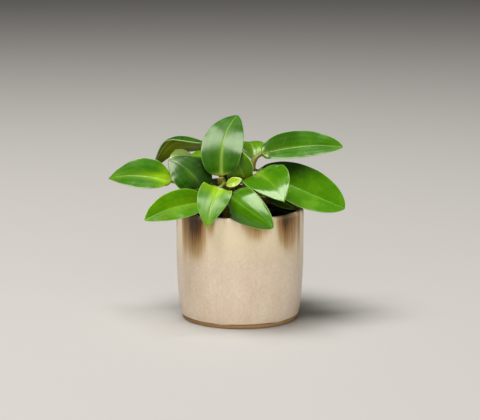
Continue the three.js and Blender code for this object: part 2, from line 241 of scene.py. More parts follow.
studio = {
    "floorSize": 12000,
    "floor": "#b4b0aa",
    "air": ("#f4f4f2", 0.05),  # colour and strength of the light from all round
    # name, place, aimed at, width and depth in mm, power in watts, and whether it shows in
    # gloss: the fill stands for soft light from all over the front, too dim and wide to be
    # mirrored as a shape
    "lamps": [
        ("overhead softbox", (-510, -155, 2290), (0, 0, 90), 1300, 1500, 84, True),
        ("front fill", (350, -2700, 500), (0, 0, 60), 6400, 900, 84, False),
    ],
}
edge = studio["floorSize"] / 2
floorMesh = bpy.data.meshes.new("floor")
floorMesh.from_pydata([(x * mm, y * mm, 0) for x, y in
                       ((-edge, -edge), (edge, -edge), (edge, edge), (-edge, edge))],
                      [], [(0, 1, 2, 3)])
floor = inScene("floor", floorMesh)
# Studio paint, rolled on: matt, with no pattern that would show.
studioPaint = newMaterial("matt_studio_paint")[0]
floorMesh.materials.append(
    finishMaterial(studioPaint, Base_Color=studio["floor"], Roughness=0.85))

world = bpy.data.worlds.new("studio")
world.use_nodes = True
air = world.node_tree.nodes["Background"]
air.inputs["Color"].default_value = linear(studio["air"][0])
air.inputs["Strength"].default_value = studio["air"][1]
bpy.context.scene.world = world

for name, place, target, width, depth, power, mirrored in studio["lamps"]:
    lamp = bpy.data.lights.new(name, "AREA")
    lamp.shape = "RECTANGLE"
    lamp.size, lamp.size_y = width * mm, depth * mm
    lamp.energy = power
    lampObject = inScene(name, lamp)
    lampObject.location = np.array(place) * mm
    aim = Vector(np.array(target) * mm) - lampObject.location
    lampObject.rotation_euler = aim.to_track_quat("-Z", "Y").to_euler()
    lampObject.visible_glossy = mirrored
bpy.context.scene.view_settings.view_transform = "Standard"
print("studio set")


pot = {
    # radius, height and rounding of each corner, from the middle of the underside, up the
    # outside, over the lip and down the inside
    "outline": [
        (0, 0, 0), (37.9, 0, 0.5), (38.5, 1.0, 0.5), (38.6, 2.9, 0.15), (39.3, 3.15, 0.3),
        (39.85, 4.3, 0.7), (40.5, 7.5, 1.8), (41.0, 12, 2.5), (41.85, 24, 6), (42.45, 38, 7),
        (42.5, 72.3, 0.8), (41.9, 74, 0.85), (39.5, 74, 0.9), (38.8, 72.0, 1.0),
        (38.2, 30, 8), (37.2, 12, 3.8), (35.2, 5, 3), (0, 5, 0),
    ],
    "around": 384,
    "shoulder": 72.3,  # height where the wall turns in to the lip
    "glazeLine": 2.9,  # where the glaze ends above the bare foot
    "lineWaves": [(0.175, 5, 0.6), (0.1, 13, 2.0)],  # its waves: height, number and start
    "lineBlur": 0.12,
    "lineDarkWidth": 0.7,  # darker clay beside the line
    "bead": (0.22, 0.55, 0.45),  # the glaze's bead: thickness, height above the line, width
    "lipCream": (-1.2, 0.3),  # cream glaze and painted highlight begin and are full this far above the shoulder
    "creamBand": (-36, -8),  # and so for the thick creamy band below it
    "uneven": (0.05, 7, 0.21),  # throwing: depth, waves round, and turn per mm of height
    "runRise": 0.075,  # how far a brown run stands proud
    "unevenTop": 71,  # both end at this height
    # brown runs: degrees from the front toward the right, width and length in mm, depth of
    # colour. The runs at -44 and 14 degrees, under the lowest front leaves, are also painted
    # shadow of those leaves. Those past 80 degrees aren't in the photograph and carry the same
    # rhythm round.
    "runs": [
        (-44, 16, 36, 1.0), (-60, 6, 44, 0.45), (-26, 5, 17, 0.4), (-13, 3, 9, 0.15),
        (3, 4, 12, 0.2), (14, 12, 19, 0.6), (26, 5, 15, 0.3), (41, 9, 26, 0.55),
        (52, 13, 33, 0.62), (66, 5, 40, 0.4), (79, 4, 15, 0.3), (94, 14, 35, 0.8),
        (112, 6, 18, 0.4), (131, 17, 40, 0.9), (149, 5, 13, 0.3), (168, 12, 28, 0.7),
        (-172, 6, 40, 0.4), (-156, 15, 26, 0.8), (-134, 8, 36, 0.5), (-118, 4, 12, 0.3),
        (-100, 14, 30, 0.75), (-80, 6, 20, 0.4),
    ],
    "insideRuns": (0.9, 1.4, 0.8),  # inside: turned by, times shorter, and depth of colour
}


# How strongly the brown shows at each point: where it breaks through the glaze and, at the two
# runs in front that lie under leaves, as painted shadow. It is the sum over the runs of
# depth * exp(-(arc / 0.55 width)^3) * (1 - drop / length)^1.3, where arc is the distance round
# the pot from the run's middle and drop the distance below the shoulder.
def brownRunsAndShadows(angle, radius, drop):
    total = np.zeros_like(angle)
    for middle, width, length, depth in pot["runs"]:
        turn = (angle - np.radians(middle) + np.pi) % (2 * np.pi) - np.pi
        side = np.exp(-np.abs(turn * radius / (0.55 * width)) ** 3)
        total = total + depth * side * np.clip(1 - drop / length, 0, 1) ** 1.3
    return total


# Reactive-glazed stoneware, thrown and dipped: a milky beige glaze, satin and glassy, that
# breaks to brown where it has run thin under the lip, with iron specks and a bare clay foot.
# Under the lowest leaves in front, the brown is also painted shadow.
def glazedStoneware():
    material, tree = newMaterial("glazed_stoneware")
    read = {key: add(tree, "Attribute", attribute_name=key).outputs["Fac"]
            for key in ("run", "bare", "lip", "lineDark", "band")}
    # streaks 1.3 mm wide and 26 mm long fray the runs and stripe the whole glaze faintly
    streak = pattern(tree, "TexNoise", 1.3, (1, 1, 20), Detail=3, Roughness=0.6)
    cloud = pattern(tree, "TexNoise", 13, (1, 1, 1.6), (1, 4, 2), Detail=3)
    curdle = pattern(tree, "TexNoise", 1.4, (1, 1, 1.5), (7, 2, 5), Detail=3, Roughness=0.6)
    clayGrain = pattern(tree, "TexNoise", 0.8, Detail=4, Roughness=0.7)
    # the run's own strength, striped by the streaks, decides how far the brown shows
    fray = add(tree, "MapRange", {"Value": streak, "From Min": 0.3, "From Max": 0.7,
                                  "To Min": 0.75, "To Max": 1.2})
    reach = add(tree, "Math", [read["run"], fray], **times)
    # iron specks 0.35 mm across, 3.5 mm apart
    speck = pattern(tree, "TexVoronoi", 3.5)
    dot = add(tree, "MapRange", {"Value": speck, "From Min": 0.1, "From Max": 0.03}, **smooth)
    milk, curds, stripes, brown, clay = (
        add(tree, "ValToRGB", {"Fac": source}, stops=stops) for source, stops in (
            (cloud, [(0.3, "#ccb69d"), (0.5, "#d1bda6"), (0.7, "#d6c5b0")]),
            (curdle, [(0.34, "#b5a188"), (0.52, "#cdbba2"), (0.68, "#dfd0ba")]),
            (streak, [(0.34, "#b8a283"), (0.5, "#d0bfa4"), (0.66, "#d9cbb3")]),
            (reach, [(0.0, "#c9b492"), (0.18, "#b89b70"), (0.42, "#8c683a"),
                     (0.68, "#4c2e02"), (1.0, "#2c1800")]),
            (clayGrain, [(0.3, "#8a683e"), (0.55, "#a68052"), (0.75, "#bb9667")])))
    thickest, lipCreamAndHighlight, iron, lineDarkShare = (
        add(tree, "Math", [source, share], **times) for source, share in (
            (read["band"], 0.6), (read["lip"], 0.6), (dot, 0.35), (read["lineDark"], 0.6)))
    breaking = add(tree, "MapRange", {"Value": reach, "From Min": 0.0, "From Max": 0.25},
                   **smooth)
    # the bare clay is darker along the glaze line
    clay = add(tree, "Mix", {0: lineDarkShare, 6: clay, 7: "#4a2e10"}, **colours)
    # glaze, layer by layer: thick and creamy in the band below the lip, and cream again where
    # it turns over the lip, partly the thinned glaze and partly a painted highlight along the
    # lip
    colour = milk
    for share, layer in ((0.3, curds), (0.12, stripes), (thickest, "#dfd0ab"),
                         (breaking, brown), (lipCreamAndHighlight, "#dccdb0"), (iron, "#7d6038"),
                         (read["bare"], clay)):
        colour = add(tree, "Mix", {0: share, 6: colour, 7: layer}, **colours)
    gloss = add(tree, "MapRange", {"Value": curdle, "To Min": 0.24, "To Max": 0.36})
    rough = add(tree, "Mix", {0: read["bare"], 2: gloss, 3: 0.8})
    bareGrain = add(tree, "Math", [clayGrain, read["bare"]], **times)
    relief = 0.0
    for source, height in ((curdle, 0.05), (streak, 0.1), (dot, -0.06), (bareGrain, 0.25)):
        relief = add(tree, "Math", [source, height, relief], **timesPlus)
    bump = add(tree, "Bump", {"Height": relief, "Strength": 0.35, "Distance": 1.0 * mm})
    return finishMaterial(material, Base_Color=colour, Roughness=rough, Normal=bump, IOR=1.5,
                          Specular_IOR_Level=0.35)


rings, poles = turned(roundedOutline(pot["outline"]), pot["around"])
outward = np.arange(len(rings))[:, None] <= np.argmax(rings[:, 0, 2])
height = rings[..., 2]
radius = np.hypot(rings[..., 0], rings[..., 1])
angle = np.arctan2(rings[..., 0], -rings[..., 1])
aboveShoulder = height - pot["shoulder"]
drop = np.maximum(-aboveShoulder, 0)
insideTurn, insideShorter, insideDepth = pot["insideRuns"]
run = np.where(outward, brownRunsAndShadows(angle, radius, drop),
               insideDepth * brownRunsAndShadows(angle + insideTurn, radius, drop * insideShorter))
glazeEnd = pot["glazeLine"] + sum(size * np.sin(number * angle + start)
                                  for size, number, start in pot["lineWaves"])
aboveLine = height - glazeEnd
potFields = {
    "run": run,
    "bare": np.where(outward, 1 - smoothStep(-pot["lineBlur"], pot["lineBlur"], aboveLine), 0),
    "lip": smoothStep(*pot["lipCream"], aboveShoulder) * np.exp(-2 * run),
    "lineDark": bell(aboveLine, pot["lineDarkWidth"]) * outward,
    "band": smoothStep(*pot["creamBand"], aboveShoulder) * outward,
}
# the glaze stands proud in a bead above the foot, and wherever a run has built up
beadDepth, beadAbove, beadWidth = pot["bead"]
bead = beadDepth * bell(aboveLine - beadAbove, beadWidth) * outward
depth, waves, perHeight = pot["uneven"]
uneven = depth * (np.sin(waves * angle + 1) * np.sin(perHeight * height + 2) - 1)
wall = outward & (aboveLine > 0) & (height < pot["unevenTop"])
grow = bead + np.where(wall, uneven + pot["runRise"] * np.minimum(run, 1), 0)
rings[..., :2] *= (1 + grow / np.maximum(radius, 1))[..., None]
finishPiece(skin("glazed_pot", rings, poles, potFields), glazedStoneware(),
            "glazed_stoneware", "pot")
print("pot made")


growerPot = {
    # radius, height and rounding, from the middle of the underside round to the inside floor
    "outline": [
        (0, 5.3, 0), (31, 5.3, 0.7), (36.9, 66.5, 0.25), (38.2, 66.5, 0.3), (38.2, 70.5, 0.45),
        (37.0, 70.5, 0.45), (37.0, 67.8, 0.3), (35.7, 66.2, 0.4), (30.0, 6.8, 0.5), (0, 6.8, 0),
    ],
    "step": 2.5,  # longest step along the outline
    "around": 192,
    "drains": 6,
    "drainRing": 20,
    # the drill: radius and height of its corners, and its points round
    "drill": [(0, 3), (4, 3), (4, 9), (0, 9)],
    "drillAround": 32,
}


# Polypropylene, injection moulded in black: dull satin, faint moulding texture, a little dust.
def mouldedPolypropylene():
    material, tree = newMaterial("black_polypropylene")
    dust = pattern(tree, "TexNoise", 6, Detail=4, Roughness=0.7)
    fine = pattern(tree, "TexNoise", 0.35)
    colour = add(tree, "ValToRGB", {"Fac": dust}, stops=[
        (0.35, "#17181a"), (0.6, "#232427"), (0.8, "#3a3834")])
    gloss = add(tree, "MapRange", {"Value": dust, "To Min": 0.38, "To Max": 0.6})
    bump = add(tree, "Bump", {"Height": fine, "Strength": 0.3, "Distance": 0.2 * mm})
    return finishMaterial(material, Base_Color=colour, Roughness=gloss, Normal=bump, IOR=1.49)


rings, poles = turned(roundedOutline(growerPot["outline"], growerPot["step"]),
                      growerPot["around"])
growerPiece = skin("grower_pot_shell", rings, poles)
drill, drillPoles = turned(np.array(growerPot["drill"], float), growerPot["drillAround"])
for k in range(growerPot["drains"]):
    turn = 2 * np.pi * k / growerPot["drains"]
    shift = growerPot["drainRing"] * np.array([np.cos(turn), np.sin(turn), 0])
    cutter = skin("cutter", drill + shift, np.array(drillPoles) + shift)
    bore = growerPiece.modifiers.new("drain", "BOOLEAN")
    bore.operation, bore.object, bore.solver = "DIFFERENCE", cutter, "EXACT"
    bored = bpy.data.meshes.new_from_object(
        growerPiece.evaluated_get(bpy.context.evaluated_depsgraph_get()))
    growerPiece.modifiers.clear()
    growerPiece.data = bored
    bpy.data.objects.remove(cutter)
finishPiece(growerPiece, mouldedPolypropylene(), "black_plastic", "grower_pot")
print("grower's pot made")


shoots = {
    # foot, bend and top of each shoot, as in the part
    "lines": {
        "left": [(-9, -4, 56), (-7.5, -8, 78), (-13, -4, 95)],
        "right": [(1, 2, 56), (-2, 1, 80), (7.5, 3, 97)],
        "back": [(-2, 15, 56), (-2, 12, 78), (-3, 15, 95)],
    },
    "radius": 2.3,
    "swell": (0.45, 1.7),  # extra radius where a leaf leaves the shoot, and its length
    "scar": (0.14, 1.3, 0.22),  # groove above that: depth, how far above, and width
    "ribs": (7, 0.018),  # number of low ribs, and their height as a share of the radius
    "dome": (0.045, 0.985),  # share of the length that rounds off the top, and where it stops
    "cap": 0.25,  # how far the top's middle stands above its last ring
    "rows": 150,
    "around": 40,
}


# Shoot skin: fleshy and faintly ribbed, olive green that browns toward the soil, satin.
def shootSkin():
    material, tree = newMaterial("shoot_skin")
    age, node = (add(tree, "Attribute", attribute_name=key).outputs["Fac"]
                 for key in ("height", "node"))
    streak = pattern(tree, "TexNoise", 0.6, (1, 1, 9), Detail=3)
    body = add(tree, "ValToRGB", {
        "Fac": add(tree, "Math", [streak, 0.3, age], **timesPlus)}, stops=[
        (0.3, "#4a3510"), (0.6, "#564a0c"), (1.0, "#5c5c10")])
    atNode = add(tree, "Math", [node, 0.6], **times)
    colour = add(tree, "Mix", {0: atNode, 6: body, 7: "#665c12"}, **colours)
    bump = add(tree, "Bump", {"Height": streak, "Strength": 0.4, "Distance": 0.3 * mm})
    return finishMaterial(material, Base_Color=colour, Normal=bump, IOR=1.42, Roughness=0.42,
                          Subsurface_Weight=0.12, Subsurface_Scale=1.2 * mm)


# A tube along the shoot's curve: radius = r + swell * bell(distance to a leaf's node) less a
# fine groove above the node, times 1 + height * sin(ribs * turn), and a dome closes the top.
def makeShoot(name, material):
    t = np.linspace(0, 1, shoots["rows"])
    centre, along = bezier(shoots["lines"][name], t)
    length = np.linalg.norm(np.diff(centre, axis=0), axis=1).sum()
    nodes = np.array([leaf["node"] for leaf in leaves.values() if leaf["shoot"] == name])
    away = (t[:, None] - nodes) * length
    extra, swellLength = shoots["swell"]
    scarDepth, scarAbove, scarWidth = shoots["scar"]
    ribs, ribHeight = shoots["ribs"]
    domeShare, domeStop = shoots["dome"]
    swell = bell(away, swellLength).max(axis=1)
    scar = bell(away - scarAbove, scarWidth).max(axis=1)
    dome = np.sqrt(1 - np.clip((t - 1) / domeShare + 1, 0, domeStop) ** 2)
    radius = (shoots["radius"] + extra * swell - scarDepth * scar) * dome
    across = unit(np.cross(along, np.array([1.0, 0, 0])))
    side = np.cross(along, across)
    turn = np.arange(shoots["around"]) * 2 * np.pi / shoots["around"]
    out = radius[:, None] * (1 + ribHeight * np.sin(ribs * turn))
    rings = (centre[:, None] + across[:, None] * (out * np.cos(turn))[..., None]
             + side[:, None] * (out * np.sin(turn))[..., None])
    whole = np.ones_like(out)
    piece = skin("shoot_skin_" + name, rings,
                 [centre[0], centre[-1] + along[-1] * shoots["cap"]],
                 {"height": t[:, None] * whole, "node": swell[:, None] * whole})
    finishPiece(piece, material, "shoot", "shoot_" + name)


# Leaves: the blade runs from base to tip, and node is its place on its shoot's line. width is
# its widest, arch the rise of its midrib, skew moves that rise toward the tip, sweep bends the
# blade sideways, roll turns it about its length, fold lifts its halves off the midrib, cup
# lifts them further near the base, curl bends them down again. full and taper shape the outline
# and stalk is a stalk's own radius. tone is the leaf's colour, from 0, old and dark, to 1,
# fresh; its darkest end also serves as painted deep shade, and its palest, past 0.9, as a
# painted sheen. glow is how far yellow flesh shows beside its midrib, shade how much painted
# shade darkens its base, deep in the plant, shadeSide which side that painted shade reaches
# further on, rib and ripple how strongly midrib and waves show beside the usual, and satin how
# much softer than usual its sheen is.
usualLeaf = dict(
    arch=0, skew=0, sweep=0, roll=0, fold=8, cup=0, curl=0.15, full=0.65, taper=0.8, stalk=1.5,
    glow=0, shade=0, shadeSide=0, rib=1, ripple=1, satin=0)
leaves = {
    # rib 1.25 draws its midrib paler and broader, partly as painted sheen along it
    "leaf_top": dict(
        shoot="left", node=0.97, base=(-12.2, -2.1, 95.8), tip=(-1.7, 33.7, 131.8), width=28.7,
        arch=7.1, skew=-0.2, sweep=-2.8, roll=5.3, fold=4.7, cup=13.6, curl=0.047, full=0.35,
        taper=0.7, tone=0.36, shade=0.2, rib=1.25, ripple=1.6, satin=0.07),
    "leaf_left_far": dict(
        shoot="left", node=0.62, base=(-45.7, 3.2, 91.1), tip=(-88.7, 9.5, 91.9), width=27.3,
        arch=3.3, skew=0.06, sweep=1, roll=-43.4, fold=20.8, cup=1.6, curl=0.08, full=0.69,
        taper=1.04, tone=0.5, glow=0.75, rib=0.75),
    "leaf_left_low": dict(
        shoot="left", node=0.57, base=(-21.5, -20.5, 81.5), tip=(-61.2, -46.2, 74), width=22.8,
        sweep=2.8, roll=-50, fold=20.1, cup=11.5, curl=0.13, full=0.49, taper=0.75, tone=0.78,
        glow=0.1, rib=0.6),
    "leaf_left_inner": dict(
        shoot="left", node=0.8, base=(-25.1, -8.7, 87.9), tip=(-47.7, 2.6, 105.6), width=29.2,
        arch=2, skew=0.23, sweep=2.3, roll=-29.3, fold=2.5, cup=-1.9, curl=0.048, full=0.431,
        taper=0.669, tone=0.22, shade=0.8, shadeSide=1, rib=0.3, ripple=1.5, satin=0.04),
    "leaf_left_back": dict(
        shoot="back", node=0.97, base=(-20, 19, 114.3), tip=(-59.2, 32, 96), width=26, arch=15,
        skew=0.4, roll=30, fold=-25, curl=0.1, full=0.7, taper=0.7, tone=0.3),
    "leaf_right_high": dict(
        shoot="right", node=0.97, base=(14.6, 9.1, 108.9), tip=(69, 10.6, 113.2), width=24.9,
        sweep=-3.3, roll=44.1, fold=21.2, cup=1.6, curl=0.1, full=0.47, taper=0.686, stalk=2.6,
        tone=0.5, shade=0.4, shadeSide=-1, rib=0.7),
    "leaf_right_large": dict(
        shoot="right", node=0.65, base=(11.6, 8, 97.8), tip=(69.1, -13.4, 75.7), width=35,
        sweep=0.4, roll=45.4, fold=24, cup=20, curl=0.11, full=0.63, taper=0.61, tone=0.7,
        shade=0.95, shadeSide=-1, rib=0.5),
    "leaf_right_front": dict(
        shoot="right", node=0.84, base=(8, 0.8, 94.9), tip=(28.2, -45.2, 85.9), width=30,
        arch=6.4, skew=-0.155, sweep=-1.8, roll=22.1, fold=10, curl=0.033, full=0.8,
        taper=0.993, tone=0.66, glow=0.35, rib=0.6, ripple=2.6, satin=-0.07),
    "leaf_front_left": dict(
        shoot="left", node=0.75, base=(-12.9, -28.5, 92), tip=(-20.7, -48.6, 69.4), width=23.7,
        arch=2.2, skew=0.43, sweep=1.6, roll=-8.8, fold=0.7, cup=32, curl=0.07, full=0.2,
        taper=0.85, tone=0.68, glow=0.75, rib=0.6, ripple=1.5, satin=0.12),
    "leaf_front_right": dict(
        shoot="left", node=0.64, base=(-5.9, -20.6, 84.8), tip=(20.8, -64.9, 72.5), width=23.3,
        arch=11.4, skew=-0.46, sweep=-0.6, roll=57.3, fold=-6, cup=-5, curl=0.28, full=0.51,
        taper=0.7, tone=0.62, shade=0.95, shadeSide=1, rib=0.5, ripple=1.8, satin=-0.04),
    "leaf_young": dict(
        shoot="left", node=0.92, base=(-9.6, -6, 90.3), tip=(1.3, -8.5, 94.6), width=7.6,
        arch=0.3, skew=-0.44, sweep=0.4, roll=52, fold=3, cup=16.2, curl=-0.02, full=0.73,
        taper=0.84, tone=1.0),
    "leaf_middle": dict(
        shoot="right", node=0.93, base=(3.2, 3.3, 93.6), tip=(-5.1, 13.5, 110.1), width=24.4,
        arch=3, sweep=2.3, roll=-82.9, fold=4.7, cup=2.3, curl=0.004, full=0.4, taper=1.15,
        tone=0.8, rib=0.6, satin=0.08),
    "leaf_back_right_upper": dict(
        shoot="back", node=0.82, base=(10, 23, 102.5), tip=(5, 50, 110.5), width=18, arch=5,
        fold=10, curl=0.1, full=0.7, tone=0.82),
    # tone 0 and shade paint the deep shade it lies in, under the leaves above it
    "leaf_right_low": dict(
        shoot="right", node=0.5, base=(17, -3, 83), tip=(36, -9, 74.5), width=13, arch=2,
        roll=30, fold=10, curl=0.1, full=0.7, tone=0, shade=0.6),
    # tone 1.3 paints a pale sheen on the tip that shows
    "leaf_left_behind": dict(
        shoot="back", node=0.78, base=(-33.9, 11, 89.2), tip=(-43, 29.2, 108.9), width=16.9,
        arch=2, roll=-24.1, fold=4, curl=0.08, full=0.5, taper=0.47, tone=1.3),
    "leaf_back_left": dict(
        shoot="back", node=0.7, base=(-10, 26, 83), tip=(-39, 55, 76), width=26, arch=6,
        tone=0.4),
    "leaf_back": dict(
        shoot="back", node=0.82, base=(-3, 24, 85.5), tip=(-8, 68, 85), width=27, arch=11,
        full=0.45, tone=0.25),
    "leaf_back_right": dict(
        shoot="back", node=0.65, base=(12, 21, 86), tip=(36, 50, 79), width=27, arch=6,
        tone=0.55),
    "leaf_right_back": dict(
        shoot="right", node=0.6, base=(14, 10, 84), tip=(58, 24, 77), width=25, arch=5,
        roll=-10, tone=0.35),
    "leaf_left_mid_back": dict(
        shoot="back", node=0.6, base=(-18, 19, 86), tip=(-60, 36, 88), width=24, arch=5,
        roll=10, tone=0.4),
    "leaf_back_upper": dict(
        shoot="back", node=0.87, base=(-9, 26, 101.5), tip=(-36, 43, 101), width=25, arch=3,
        roll=-30, fold=10, curl=0.12, tone=0.85, glow=0.5),
    "leaf_back_low_left": dict(
        shoot="back", node=0.45, base=(-8, 26, 79), tip=(-27, 58, 68), width=23, arch=7,
        tone=0.5),
    "leaf_back_low_right": dict(
        shoot="back", node=0.55, base=(5, 27, 80), tip=(18, 60, 68), width=23, arch=7,
        tone=0.45),
}
leaves = {name: {**usualLeaf, **own} for name, own in leaves.items()}

# What all blades and stalks share: lengths in mm, and shares of the blade's length.
bladeForm = {
    "rows": 84,
    "stalkRows": 26,
    "around": 128,
    "bunch": 0.8,  # how much closer the points lie at the midrib and the margins
    "stalkTaper": 0.85 / 1.5,  # how far a stalk has thinned where it meets the blade
    "rise": (2.5, 0.3),  # the stalk's first control point: height, and its greatest share
    "bend": 0.45,  # share of the stalk's reach that its last bend takes
    "footDepth": 0.72,  # the foot ends at this share of the shoot's radius
    "footFlare": (0.3, 2.2),  # extra share of its radius, and length
    "footTint": 9,  # length of the browner foot
    "runOut": 0.14,  # share over which the stalk runs out under the blade
    "flatten": 0.09,  # share over which the round stalk becomes a flat blade
    "leastHalf": 0.12,  # least half width
    "thickness": 1.0,
    "youngWidth": 16,  # a leaf narrower than this is thinner all over
    "thinning": 0.3,  # how much thinner the blade is at its margins
    "marginRound": 3.3,  # sharpness of the margin's rounding, per mm of half width
    "tipClose": 0.012,  # share over which the tip closes
    "crease": 0.02,  # rounding of the fold, as a share of the half width
    "foldPower": 1.15,
    "groove": (0.26, 0.6),  # depth and width of the sunken midrib
    "keel": (0.5, 0.85),  # the same for the midrib that stands out underneath
    "veins": (0.36, 0.68),  # places of the side veins, as shares of the half width
    "vein": (0.035, 0.45),  # their depth and width
    "ripple": 0.12,
    # the healed scratch on one leaf: place along and across, length and width as shares
    "scratched": "leaf_left_low",
    "scratch": (0.72, -0.5, 0.07, 0.045),
}


# Directions of a leaf: its line from base to tip, its face and its side. The face is the
# upright direction square to the line, turned about the line by roll, and the side is
# line x face.
def leafFrame(leaf):
    base, tip = np.array(leaf["base"], float), np.array(leaf["tip"], float)
    line = tip - base
    along = unit(line)
    up = unit(np.array([0, 0, 1]) - along * along[2])
    left = np.cross(along, up)
    turn = np.radians(leaf["roll"])
    face = up * np.cos(turn) + left * np.sin(turn)
    return base, line, face, np.cross(along, face)


# The midrib's points at u, 0 at the base and 1 at the tip: base + line u + face arch h lean +
# side sweep h, with h = 4u(1 - u) and lean = 1 + skew (2u - 1), and the directions there.
def midrib(leaf, u):
    base, line, face, side = leafFrame(leaf)
    arch, skew, sweep = leaf["arch"], leaf["skew"], leaf["sweep"]
    u = u[:, None]
    lean, hump, slope = 1 + skew * (2 * u - 1), 4 * u * (1 - u), 4 * (1 - 2 * u)
    point = base + line * u + face * (arch * hump * lean) + side * (sweep * hump)
    along = unit(line + face * arch * (slope * lean + hump * 2 * skew) + side * sweep * slope)
    up = unit(face - along * (along @ face)[:, None])
    return point, along, up, np.cross(along, up)


# Half the width at u: a power of u at the base times a power of 1 - u at the tip, scaled so
# that its largest value is half the leaf's width.
def halfWidth(leaf, u):
    full, taper = leaf["full"], leaf["taper"]
    peak = (full / (full + taper)) ** full * (taper / (full + taper)) ** taper
    return leaf["width"] / 2 * u ** full * (1 - u) ** taper / peak


# A stalk's centre line: a Bezier curve from the node on the shoot to the blade's base, which
# leaves along the shoot and arrives along the midrib. Returns its points, up and across
# directions, its place s on the curve and the distance from its foot.
def stalkPath(leaf):
    form, line = bladeForm, shoots["lines"][leaf["shoot"]]
    start, climb = (value[0] for value in bezier(line, np.array([leaf["node"]])))
    rootPoint, rootAlong, rootUp, rootAcross = (value[0] for value in midrib(leaf, np.zeros(1)))
    reach = np.linalg.norm(rootPoint - start)
    rise, riseShare = form["rise"]
    controls = [start, start + climb * min(rise, riseShare * reach),
                rootPoint - rootAlong * form["bend"] * reach,
                rootPoint - rootUp * form["thickness"] / 2]
    # the foot ends just under the shoot's skin
    trial = np.linspace(0, 0.8, 200)
    axis = bezier(line, np.linspace(0, 1, 200))[0]
    apart = np.linalg.norm(bezier(controls, trial)[0][:, None] - axis, axis=2).min(axis=1)
    footAt = trial[np.argmax(apart > form["footDepth"] * shoots["radius"])]
    s = footAt + (1 - footAt) * np.linspace(0, 1, form["stalkRows"])
    centre, along = bezier(controls, s)
    across = unit(rootAcross - along * (along @ rootAcross)[:, None])
    return centre, np.cross(across, along), across, s, (s - footAt) * reach


# A leaf is one skin from its stalk's foot to its tip. Each ring is centre + across * w * v +
# up * (w * lift(v) + h(v)), where w is the half width, v goes from one margin over the upper
# face to the other and back underneath, and h is half the thickness there: a round stalk,
# w * sqrt(1 - v^2), that passes into a blade with rounded margins, a sunken midrib above, a
# keel below, side veins and a slow ripple, which is a sum of sines of u and v.
def leafSkin(name, leaf, seed):
    form = bladeForm
    half = form["thickness"] / 2
    stalkCentre, stalkUp, stalkAcross, s, fromFoot = stalkPath(leaf)
    u = (1 - np.cos(np.pi * np.arange(1, form["rows"]) / form["rows"])) / 2
    bladeCentre, _, bladeUp, bladeAcross = midrib(leaf, u)
    centre = np.concatenate([stalkCentre, bladeCentre - bladeUp * half])[:, None]
    up = np.concatenate([stalkUp, bladeUp])[:, None]
    across = np.concatenate([stalkAcross, bladeAcross])[:, None]
    s = np.concatenate([s, np.ones(len(u))])[:, None]
    fromFoot = np.concatenate([fromFoot, np.full(len(u), fromFoot[-1])])[:, None]
    u = np.concatenate([np.zeros(form["stalkRows"]), u])[:, None]

    size = min(1, leaf["width"] / form["youngWidth"])
    flare, flareLength = form["footFlare"]
    stalk = size * leaf["stalk"] * (1 + (form["stalkTaper"] - 1) * s) * (
        1 + flare * bell(fromFoot, flareLength))
    runOut = stalk * (1 - smoothStep(0, form["runOut"], u))
    w = np.maximum((halfWidth(leaf, u) ** 3 + runOut ** 3) ** (1 / 3), form["leastHalf"])

    q = np.linspace(1, -1, form["around"] // 2 + 1)
    q = np.concatenate([q[:-1], q[::-1][:-1]])[None]
    v = q - form["bunch"] * np.sin(2 * np.pi * q) / (2 * np.pi)
    upper = (np.arange(form["around"]) < form["around"] // 2)[None]
    x = w * v
    blade = smoothStep(0, form["flatten"], u)

    fold = np.radians(leaf["fold"] + leaf["cup"] * (1 - u) ** 2) * blade
    lift = (v * v + form["crease"] ** 2) ** (form["foldPower"] / 2) * np.sin(fold)
    lift = lift - leaf["curl"] * v * v * blade
    margin = np.sqrt(np.clip(1 - np.abs(v) ** np.maximum(2, form["marginRound"] * w), 0, 1))
    close = np.sqrt(np.clip((1 - u) / form["tipClose"], 0, 1))
    veinDepth, veinWidth = form["vein"]
    vein = sum(bell(np.abs(x) - place * w, veinWidth) for place in form["veins"])
    vein = vein * np.sin(np.pi * np.clip(u, 0, 1)) ** 0.5 * smoothStep(0.0, 3.0, w)
    grooveDepth, grooveWidth = form["groove"]
    keelDepth, keelWidth = form["keel"]
    groove = grooveDepth * np.clip(1 - u, 0, 1) ** 0.6 * bell(x, grooveWidth)
    keel = keelDepth * (1 - u) * bell(x, keelWidth)
    plump = size * half * (1 - form["thinning"] * v * v) * margin * close
    top = plump - size * (groove + veinDepth * vein)
    under = plump + size * (keel + 0.5 * veinDepth * vein)
    side = np.sqrt(np.clip(1 - v * v, 0, 1))
    roundTop = runOut * side - 0.25 * runOut * bell(v, 0.3)
    h = np.where(upper, roundTop * (1 - blade) + top * blade,
                 -(runOut * side * (1 - blade) + under * blade))
    phase = np.random.default_rng(seed).uniform(0, 2 * np.pi, 4)
    ripple = form["ripple"] * leaf["ripple"] * size * blade * (
        np.sin(9 * u + phase[0]) * np.sin(2.6 * v + phase[1])
        + 0.8 * np.sin(19 * u + 3 * v + phase[2]) * v
        + 0.6 * np.sin(31 * u + phase[3]) * np.abs(v) ** 3)
    rings = centre + across * (x * np.cos(fold))[..., None] + up * (
        w * lift + h + ripple * close)[..., None]
    shadeAt = u - 0.3 * leaf["shadeSide"] * v  # the painted shade fades from 0.1 to 0.5 of this
    fields = {
        "along": u,
        "midribAway": np.abs(x),
        "marginAway": (1 - np.abs(v)) * w,
        "vein": vein,
        "under": np.where(upper, 0.0, 1.0),
        "stalk": 1 - smoothStep(0, 0.05, u),
        "foot": bell(fromFoot, form["footTint"]) * (u == 0),
        "shade": leaf["shade"] * (1 - smoothStep(0.1, 0.5, shadeAt)),
        **{key: leaf[key] for key in ("tone", "glow", "rib", "satin")},
    }
    if name == form["scratched"]:
        alongAt, acrossAt, length, width = form["scratch"]
        fields["scar"] = bell(u - alongAt, length) * bell(v - acrossAt, width) * upper
    poles = [rings[0].mean(axis=0), rings[-1].mean(axis=0)]
    return skin(name.replace("leaf_", "blade_", 1), rings, poles,
                {key: field * np.ones_like(x) for key, field in fields.items()})
